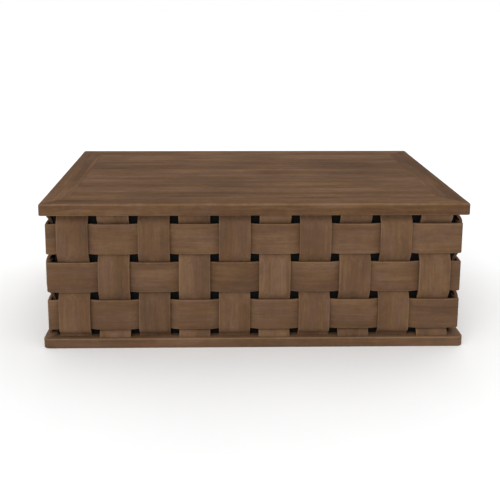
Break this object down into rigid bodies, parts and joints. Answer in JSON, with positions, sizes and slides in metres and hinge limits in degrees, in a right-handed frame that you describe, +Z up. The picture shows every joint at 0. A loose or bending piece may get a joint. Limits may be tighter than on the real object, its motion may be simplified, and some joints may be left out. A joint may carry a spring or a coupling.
{
  "type": "coffee table",
  "caption": "Low rectangular coffee table: framed plank top on a plinth, with wide wooden strips basket-woven around all four sides.",
  "frame": {"origin": "on the floor, under the middle of the table", "axes": "+X along the long side, front faces -Y, +Z up"},
  "size_m": [1.22, 0.76, 0.43],
  "materials": {
    "top_wood": "brown stained hardwood, matt lacquer",
    "plinth_wood": "brown stained hardwood, matt lacquer",
    "band_wood": "brown stained hardwood strip, matt lacquer",
    "slat_wood": "brown stained hardwood strip, matt lacquer",
    "black_liner": "thin panel stained flat black",
    "carcass_wood": "plain unfinished softwood",
    "zinc_steel": "zinc plated screw"
  },
  "bodies": {
    "root": {"back_slat_01": "slat_wood", "back_slat_02": "slat_wood", "back_slat_03": "slat_wood", "back_slat_04": "slat_wood", "back_slat_05": "slat_wood", "back_slat_06": "slat_wood", "back_slat_07": "slat_wood", "back_slat_08": "slat_wood", "back_slat_09": "slat_wood", "back_slat_10": "slat_wood", "bottom_band_back": "band_wood", "bottom_band_front": "band_wood", "bottom_band_left": "band_wood", "bottom_band_right": "band_wood", "corner_posts": "carcass_wood", "front_slat_01": "slat_wood", "front_slat_02": "slat_wood", "front_slat_03": "slat_wood", "front_slat_04": "slat_wood", "front_slat_05": "slat_wood", "front_slat_06": "slat_wood", "front_slat_07": "slat_wood", "front_slat_08": "slat_wood", "front_slat_09": "slat_wood", "front_slat_10": "slat_wood", "left_slat_01": "slat_wood", "left_slat_02": "slat_wood", "left_slat_03": "slat_wood", "left_slat_04": "slat_wood", "left_slat_05": "slat_wood", "left_slat_06": "slat_wood", "liner_panels": "black_liner", "middle_band_back": "band_wood", "middle_band_front": "band_wood", "middle_band_left": "band_wood", "middle_band_right": "band_wood", "mitre_splines": "carcass_wood", "plinth_rail_back": "plinth_wood", "plinth_rail_front": "plinth_wood", "plinth_rail_left": "plinth_wood", "plinth_rail_right": "plinth_wood", "right_slat_01": "slat_wood", "right_slat_02": "slat_wood", "right_slat_03": "slat_wood", "right_slat_04": "slat_wood", "right_slat_05": "slat_wood", "right_slat_06": "slat_wood", "screws": "zinc_steel", "top_band_back": "top_wood", "top_band_front": "top_wood", "top_band_left": "top_wood", "top_band_right": "top_wood", "top_battens": "carcass_wood", "top_boards": "top_wood", "top_cleats": "carcass_wood", "top_rail_back": "top_wood", "top_rail_front": "top_wood", "top_rail_left": "top_wood", "top_rail_right": "top_wood"}
  },
  "joints": []
}
